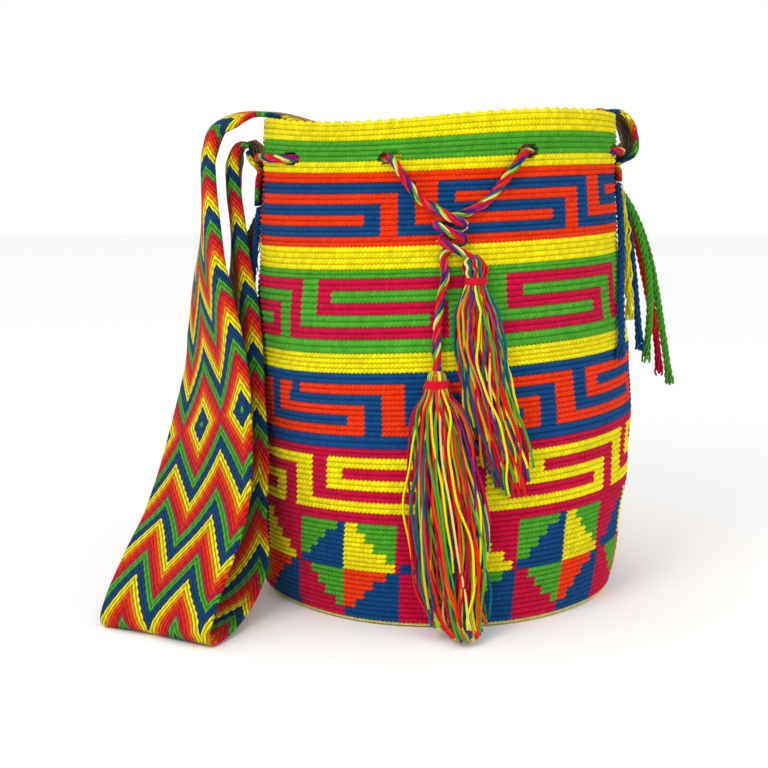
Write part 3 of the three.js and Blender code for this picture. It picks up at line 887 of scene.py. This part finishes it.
def wall_shell(name, rows, top):
    """A closed ring of wall: up the outside, over the top and down the inside. The one at the
    top has a lip and the eyelets, and as many rings inside as outside."""
    rings = []
    levels = []
    colours = []
    for low, high, stitches in rows:
        for share, outward, shear, part in ROW_RINGS:
            height = low + share * (high - low)
            rings.append(wall_ring(height, outward, shear, part))
            levels.append(height)
            colours.append(np.repeat(stitches, 2, axis=0))
    top_height = rows[-1][1]
    top_colour = colours[-1]
    edge_ring = (LIP_OUT, 0, "plain") if top else (-GROOVE, 0, "groove")
    rings.append(wall_ring(top_height, *edge_ring))
    levels.append(top_height)
    colours.append(top_colour)
    outside = len(rings)
    if top:
        for lift, outward in LIP_RINGS:
            rings.append(wall_ring(top_height + lift, outward, 0, "lip"))
            colours.append(top_colour)
    for k in range(outside - 1, -1, -1 if top else -3):
        inset = WALL + (0.0003 if k % 3 else -0.0002)
        rings.append(wall_ring(levels[k], -inset, 0, "plain"))
        colours.append(colours[max(k - 1, 0)])
    count = len(rings)
    colours = np.array(colours)
    here = np.arange(count)[:, None] * COLUMNS + np.arange(COLUMNS)[None, :]
    right = np.roll(here, -1, axis=1)
    above = np.roll(here, -1, axis=0)
    corner = np.roll(above, -1, axis=1)
    quads = np.stack([here, right, corner, above], axis=-1)
    keep = np.ones((count, COLUMNS), dtype=bool)
    edges = []
    if top:
        hole = in_slot([(a + b) / 2 for a, b in zip(levels, levels[1:])])
        first_inner = outside + len(LIP_RINGS)
        keep[: outside - 1] = ~hole
        keep[first_inner : first_inner + outside - 1] = ~hole[::-1]
        edges = slot_edges(hole, first_inner, outside)
    faces = quads[keep].tolist() + [face for face, _ in edges]
    face_colours = list(colours[keep]) + [colours[place] for _, place in edges]
    uvs = np.vstack([ring_uvs(count)[keep].reshape(-1, 2), np.zeros((4 * len(edges), 2))])
    piece = mesh_object(name, np.vstack(rings), faces, CROCHET, np.array(face_colours), uvs)
    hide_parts("bag_body")


def slot_edges(hole, first_inner, outside):
    """Faces that join the outside to the inside all round each eyelet, each with the face beside it."""
    last_inner = first_inner + outside - 1

    def outer(r, c):
        """A point of the outside."""
        return r * COLUMNS + c % COLUMNS

    def inner(r, c):
        """The point of the inside behind it."""
        return (last_inner - r) * COLUMNS + c % COLUMNS

    made = []
    for r, c in zip(*np.nonzero(hole)):
        sides = (
            (r - 1, c, (r, c), (r, c + 1)),
            (r + 1, c, (r + 1, c + 1), (r + 1, c)),
            (r, c - 1, (r + 1, c), (r, c)),
            (r, c + 1, (r, c + 1), (r + 1, c + 1)),
        )
        for rn, cn, a, b in sides:
            place = (rn, cn % COLUMNS)
            if not hole[place]:
                made.append(([outer(*a), outer(*b), inner(*b), inner(*a)], place))
    return made


ROWS = wall_rows()
TOP_ROWS = 11
LOW_ROWS = 42
wall_shell("bag_wall_low", ROWS[:LOW_ROWS], top=False)
wall_shell("bag_wall_middle", ROWS[LOW_ROWS:-TOP_ROWS], top=False)
wall_shell("bag_wall_top", ROWS[-TOP_ROWS:], top=True)

BASE_RADIUS = 0.1105
BASE_COLUMNS = 176
BASE_ROWS = 36
BASE_GROOVE = 0.0011
BASE_BULGE = 0.0003
BASE_TOP = 0.0044
BASE_TOP_GROOVE = 0.0038
# From the rim in: the share of the radius where each ring of colour ends.
BASE_RINGS = [(0.86, MAGENTA), (0.72, BLUE), (0.62, YELLOW), (0.3, GREEN), (-1, ORANGE)]


def base_disc():
    """The round base: rings of crochet on both faces, in a few plain rings of colour."""
    angle = np.arange(BASE_COLUMNS) / BASE_COLUMNS * 2 * math.pi
    under = []
    for k in range(BASE_ROWS):
        under.append((BASE_RADIUS * (1 - k / BASE_ROWS), BASE_GROOVE, BASE_TOP_GROOVE))
        under.append((BASE_RADIUS * (1 - (k + 0.5) / BASE_ROWS), BASE_BULGE, BASE_TOP))
    profile = [(radius, over) for radius, _, over in under[::-1]]
    profile += [(radius, below) for radius, below, _ in under]
    rings = []
    colours = []
    for radius, lift in profile:
        level = np.full(BASE_COLUMNS, lift)
        rings.append(np.stack([radius * np.sin(angle), -radius * np.cos(angle), level], axis=1))
        share = radius / BASE_RADIUS
        colours.append(next(colour for end, colour in BASE_RINGS if share > end))
    faces = []
    face_colours = []
    for k in range(len(rings) - 1):
        for c in range(BASE_COLUMNS):
            a = k * BASE_COLUMNS + c
            b = k * BASE_COLUMNS + (c + 1) % BASE_COLUMNS
            faces.append([a + BASE_COLUMNS, b + BASE_COLUMNS, b, a])
            face_colours.append(colours[k])
    last = (len(rings) - 1) * BASE_COLUMNS
    faces.append(list(range(BASE_COLUMNS)))
    faces.append([last + c for c in reversed(range(BASE_COLUMNS))])
    face_colours += [ORANGE, ORANGE]
    uvs = np.zeros((sum(len(face) for face in faces), 2))
    piece = mesh_object("bag_base", np.vstack(rings), faces, CROCHET, np.array(face_colours), uvs)


base_disc()

# ---------- shoulder strap ----------

STRAP_WIDTH = 0.080
STRAP_THICKNESS = 0.0036
STRAP_EDGE = 0.0018
STRAP_ROLL_START = 0.026
STRAP_ROLL_RADIUS = 0.010
STRAP_END_OFFSET = 0.0034
SIDE_WALL_RADIUS = 0.113
# Stations along the strap's middle line, as in the CAD: x, y, z, the direction of the width in
# degrees, how much the front edge rolls, and how far the strap follows the wall.
STRAP_STATIONS = np.array([
    (0.11, 0.04, 0.26, 90, 0, 1),
    (0.11, 0.04, 0.266, 90, 0, 1),
    (0.125, 0.038, 0.28, 90, 0, 0),
    (0.122, 0.037, 0.295, 90, 0, 0),
    (0.113, 0.035, 0.303, 90, 0, 0),
    (0.098, 0.033, 0.3025, 90, 0, 0),
    (0.08, 0.032, 0.2995, 90, 0, 0),
    (0.06, 0.031, 0.293, 90, 0.3, 0),
    (0.02, 0.03, 0.287, 90, 0.6, 0),
    (-0.04, 0.03, 0.286, 90, 0.6, 0),
    (-0.075, 0.031, 0.293, 90, 0.3, 0),
    (-0.098, 0.032, 0.3, 90, 0, 0),
    (-0.114, 0.033, 0.3025, 90, 0, 0),
    (-0.132, 0.033, 0.301, 90, 0.9, 0),
    (-0.146, 0.033, 0.293, 90, 1, 0),
    (-0.152, 0.031, 0.278, 88, 1, 0),
    (-0.154, 0.025, 0.254, 85, 1, 0),
    (-0.154, 0.014, 0.228, 80, 1, 0),
    (-0.153, 0.001, 0.201, 73, 0.9, 0),
    (-0.15, -0.012, 0.176, 66, 0.8, 0),
    (-0.146, -0.027, 0.151, 60, 0.6, 0),
    (-0.144, -0.043, 0.125, 52, 0.3, 0),
    (-0.144, -0.058, 0.102, 46, 0.1, 0),
    (-0.145, -0.075, 0.08, 40, 0, 0),
    (-0.148, -0.092, 0.06, 35, 0, 0),
    (-0.155, -0.11, 0.04, 31, 0, 0),
    (-0.162, -0.127, 0.02, 29, 0, 0),
    (-0.164, -0.135, 0.009, 28, 0, 0),
    (-0.1635, -0.1355, 0.0045, 28, 0, 0),
    (-0.161, -0.131, 0.0024, 28, 0, 0),
    (-0.156, -0.1205, 0.0036, 26, 0, 0),
    (-0.149, -0.102, 0.009, 24, 0, 0),
    (-0.142, -0.084, 0.019, 28, 0, 0),
    (-0.138, -0.067, 0.034, 35, 0, 0),
    (-0.136, -0.054, 0.057, 43, -0.1, 0),
    (-0.134, -0.045, 0.078, 48, -0.3, 0),
    (-0.134, -0.034, 0.1, 54, -0.5, 0),
    (-0.134, -0.02, 0.128, 61, -0.7, 0),
    (-0.134, -0.007, 0.152, 67, -0.9, 0),
    (-0.134, 0.005, 0.175, 73, -1, 0),
    (-0.135, 0.016, 0.2, 79, -1, 0),
    (-0.136, 0.026, 0.228, 84, -1, 0),
    (-0.137, 0.033, 0.252, 88, -1, 0),
    (-0.136, 0.037, 0.27, 90, -0.7, 0),
    (-0.131, 0.039, 0.281, 90, -0.3, 0),
    (-0.124, 0.04, 0.282, 90, 0, 0),
    (-0.1205, 0.04, 0.273, 90, 0, 0),
    (-0.11, 0.04, 0.261, 90, 0, 1),
    (-0.11, 0.04, 0.252, 90, 0, 1),
    (-0.11, 0.04, 0.244, 90, 0, 1),
])
STRAP_COLUMNS = 50
STRAP_STEP = 0.0024
# The diamonds of the strap's outer leg are centred at this station.
DIAMOND_STATION = 21.6
# The colours repeat after this length. A chevron's width and place are shares of the strap's
# width, and its depth and the diamond's heart are shares of the repeat.
CHEVRON_LENGTH = 0.042
CHEVRON_PERIOD = 0.48
CHEVRON_FIRST = -0.03
CHEVRON_DEPTH = 0.786
CHEVRON_HEART = 0.12
# Where each colour starts in the repeat.
CHEVRON_COLOURS = [
    (0, GREEN),
    (0.19, BLUE * 0.8),
    (0.42, YELLOW),
    (0.60, AMBER),
    (0.70, ORANGE),
    (0.80, RED),
    (0.90, MAGENTA),
]
CORDS_PER_REPEAT = 10
STITCHES_ACROSS = 30


def rolled_point(centre, width, outer, across, outward, roll):
    """A point of the strap's section: flat, with the front edge rolled round an arc."""
    beyond = across - STRAP_ROLL_START
    if beyond <= 0 or abs(roll) < 0.01:
        return centre + width * across + outer * outward
    radius = STRAP_ROLL_RADIUS / abs(roll)
    angle = beyond / radius
    bend = math.copysign(1, roll)
    along = STRAP_ROLL_START + (radius + bend * outward) * math.sin(angle)
    drop = bend * (radius - (radius + bend * outward) * math.cos(angle))
    return centre + width * along - outer * drop


def strap_stations():
    """Close stations along the strap: its middle, its settings (turn, roll and how far it is
    sewn), its distance from the diamonds, and its share of the way."""
    middle = curve(STRAP_STATIONS[:, :3], CURVE_STEPS)
    settings = curve(STRAP_STATIONS[:, 3:], CURVE_STEPS)
    count = np.arange(len(middle))
    along = distances(middle)
    places = np.linspace(0, along[-1], int(along[-1] / STRAP_STEP) + 1)
    index = np.interp(places, along, count)

    def pick(values):
        """The three values at each station."""
        return np.stack([np.interp(index, count, values[:, k]) for k in range(3)], axis=1)

    heart = np.interp(DIAMOND_STATION * CURVE_STEPS, count, along)
    return pick(middle), pick(settings), places - heart, index / (len(middle) - 1)


def strap_piece():
    """The woven strap: a closed band with soft edges, drawn along its stations."""
    middle, settings, places, shares = strap_stations()
    ahead = np.gradient(middle, axis=0)
    ahead /= np.linalg.norm(ahead, axis=1)[:, None]
    across = np.linspace(-STRAP_WIDTH / 2, STRAP_WIDTH / 2, STRAP_COLUMNS + 1)
    edge = np.clip((STRAP_WIDTH / 2 - np.abs(across)) / STRAP_EDGE, 0, 1)
    thick = STRAP_THICKNESS / 2 * (0.35 + 0.65 * np.sqrt(1 - (1 - edge) ** 2))
    section = list(zip(across, thick)) + list(zip(across[::-1], -thick[::-1]))
    rings = []
    for centre, (turn, roll, sewn), direction, share in zip(middle, settings, ahead, shares):
        width = np.array([math.cos(math.radians(turn)), -math.sin(math.radians(turn)), 0])
        width = width - direction * np.dot(width, direction)
        width = width / np.linalg.norm(width)
        outer = np.cross(direction, width)
        side = 1 if share < 0.5 else -1
        sewn = min(max(sewn, 0), 1)
        ring = []
        for x, t in section:
            free = rolled_point(centre, width, outer, x, t, roll)
            angle = side * (math.pi / 2 + (STRAP_WIDTH / 2 - x) / SIDE_WALL_RADIUS)
            flat = free
            if sewn > 0:
                flat = wall_point(centre[2], angle, STRAP_END_OFFSET + t, level=True)
            ring.append(free + (flat - free) * sewn)
        rings.append(ring[::-1])
    round_count = len(section)
    vertices = np.array(rings).reshape(-1, 3)
    uv_ring = np.array([x / STRAP_WIDTH + 0.5 for x, _ in section])[::-1]
    faces = []
    uvs = []
    for k in range(len(rings) - 1):
        for c in range(round_count):
            d = (c + 1) % round_count
            a, b = k * round_count + c, k * round_count + d
            faces.append([a, b, b + round_count, a + round_count])
            uvs += [(uv_ring[c], places[k]), (uv_ring[d], places[k])]
            uvs += [(uv_ring[d], places[k + 1]), (uv_ring[c], places[k + 1])]
    faces.append(list(reversed(range(round_count))))
    uvs += [(uv_ring[c], places[0]) for c in reversed(range(round_count))]
    faces.append([(len(rings) - 1) * round_count + c for c in range(round_count)])
    uvs += [(uv_ring[c], places[-1]) for c in range(round_count)]
    piece = mesh_object("woven_strap", vertices, faces, strap_material(), None, uvs)
    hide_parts("shoulder_strap")
    return piece, float(places[-1] - places[0])


def strap_material():
    """Chevrons that mirror at a row of diamonds, woven in slanting cords of five colours, with painted
    shade in the gaps between the cords and the stitches.
    """
    nodes = Nodes("strap_weave")
    uv = nodes.add("ShaderNodeUVMap", uv_map="stitches").outputs[0]
    parts = nodes.add("ShaderNodeSeparateXYZ", {0: uv})
    across, along = parts.outputs[0], parts.outputs[1]
    shifted = nodes.math("ADD", across, 2 * CHEVRON_PERIOD - CHEVRON_FIRST)
    wave = nodes.math("PINGPONG", shifted, CHEVRON_PERIOD / 2)
    tooth = nodes.math("MULTIPLY", wave, CHEVRON_DEPTH / (CHEVRON_PERIOD / 2))
    length = nodes.math("DIVIDE", nodes.math("ABSOLUTE", along), CHEVRON_LENGTH)
    phase = nodes.math("ADD", nodes.math("ADD", length, tooth), CHEVRON_HEART)
    cords = nodes.math("MULTIPLY", phase, CORDS_PER_REPEAT)
    turn = nodes.math("MULTIPLY", nodes.math("FLOOR", cords), 0.5)
    stitches = nodes.math("ADD", nodes.math("MULTIPLY", across, STITCHES_ACROSS), turn)
    stitch = nodes.math("FRACT", stitches)
    ragged = nodes.math("MULTIPLY", nodes.math("SUBTRACT", stitch, 0.5), 0.045)
    cycle = nodes.math("FRACT", nodes.math("ADD", phase, ragged))
    ramp = nodes.add("ShaderNodeValToRGB", {0: cycle})
    ramp.color_ramp.interpolation = "CONSTANT"
    while len(ramp.color_ramp.elements) < len(CHEVRON_COLOURS):
        ramp.color_ramp.elements.new(0.5)
    for element, (place, colour) in zip(ramp.color_ramp.elements, CHEVRON_COLOURS):
        element.position = place
        element.color = (*colour, 1)
    hump = nodes.math("SINE", nodes.math("MULTIPLY", nodes.math("FRACT", cords), math.pi))
    bead = nodes.math("SINE", nodes.math("MULTIPLY", stitch, math.pi))
    half_bead = nodes.math("ADD", nodes.math("MULTIPLY", bead, 0.5), 0.5)
    height = nodes.math("MULTIPLY", nodes.math("POWER", hump, 0.6), half_bead)
    # Painted shade: the colour darkens with the relief, most in the gaps between cords and stitches.
    light = nodes.math("ADD", nodes.math("MULTIPLY", height, 0.75), 0.14)
    painted_shade_colour = nodes.scaled(ramp.outputs[0], light)
    return finish_yarn(nodes, painted_shade_colour, nodes.math("MULTIPLY", height, 1.4), 0.0011)


strap, strap_length = strap_piece()

# ---------- floor and light ----------

floor_mesh = bpy.data.meshes.new("floor")
floor_mesh.from_pydata([(-3, -3, 0), (3, -3, 0), (3, 3, 0), (-3, 3, 0)], [], [(0, 1, 2, 3)])
floor = bpy.data.objects.new("floor", floor_mesh)
bpy.context.collection.objects.link(floor)
paper = Nodes("paper")
paper.shader.inputs["Base Color"].default_value = (0.93, 0.93, 0.93, 1)
paper.shader.inputs["Roughness"].default_value = 0.9
floor_mesh.materials.append(paper.material)


def area_light(name, place, aim, size, power):
    """A soft square light at a place, turned towards another."""
    data = bpy.data.lights.new(name, "AREA")
    data.size = size
    data.energy = power
    light = bpy.data.objects.new(name, data)
    bpy.context.collection.objects.link(light)
    light.location = place
    light.rotation_mode = "QUATERNION"
    light.rotation_quaternion = (Vector(aim) - Vector(place)).to_track_quat("-Z", "Y")


area_light("key", (-0.9, -1.3, 1.3), (0, 0, 0.15), 0.8, 13)
area_light("fill", (1.2, -1.0, 0.7), (0, 0, 0.15), 1.0, 3)
world = bpy.data.worlds.new("studio")
world.use_nodes = True
world.node_tree.nodes["Background"].inputs["Color"].default_value = (1, 1, 1, 1)
world.node_tree.nodes["Background"].inputs["Strength"].default_value = 1.0
bpy.context.scene.world = world
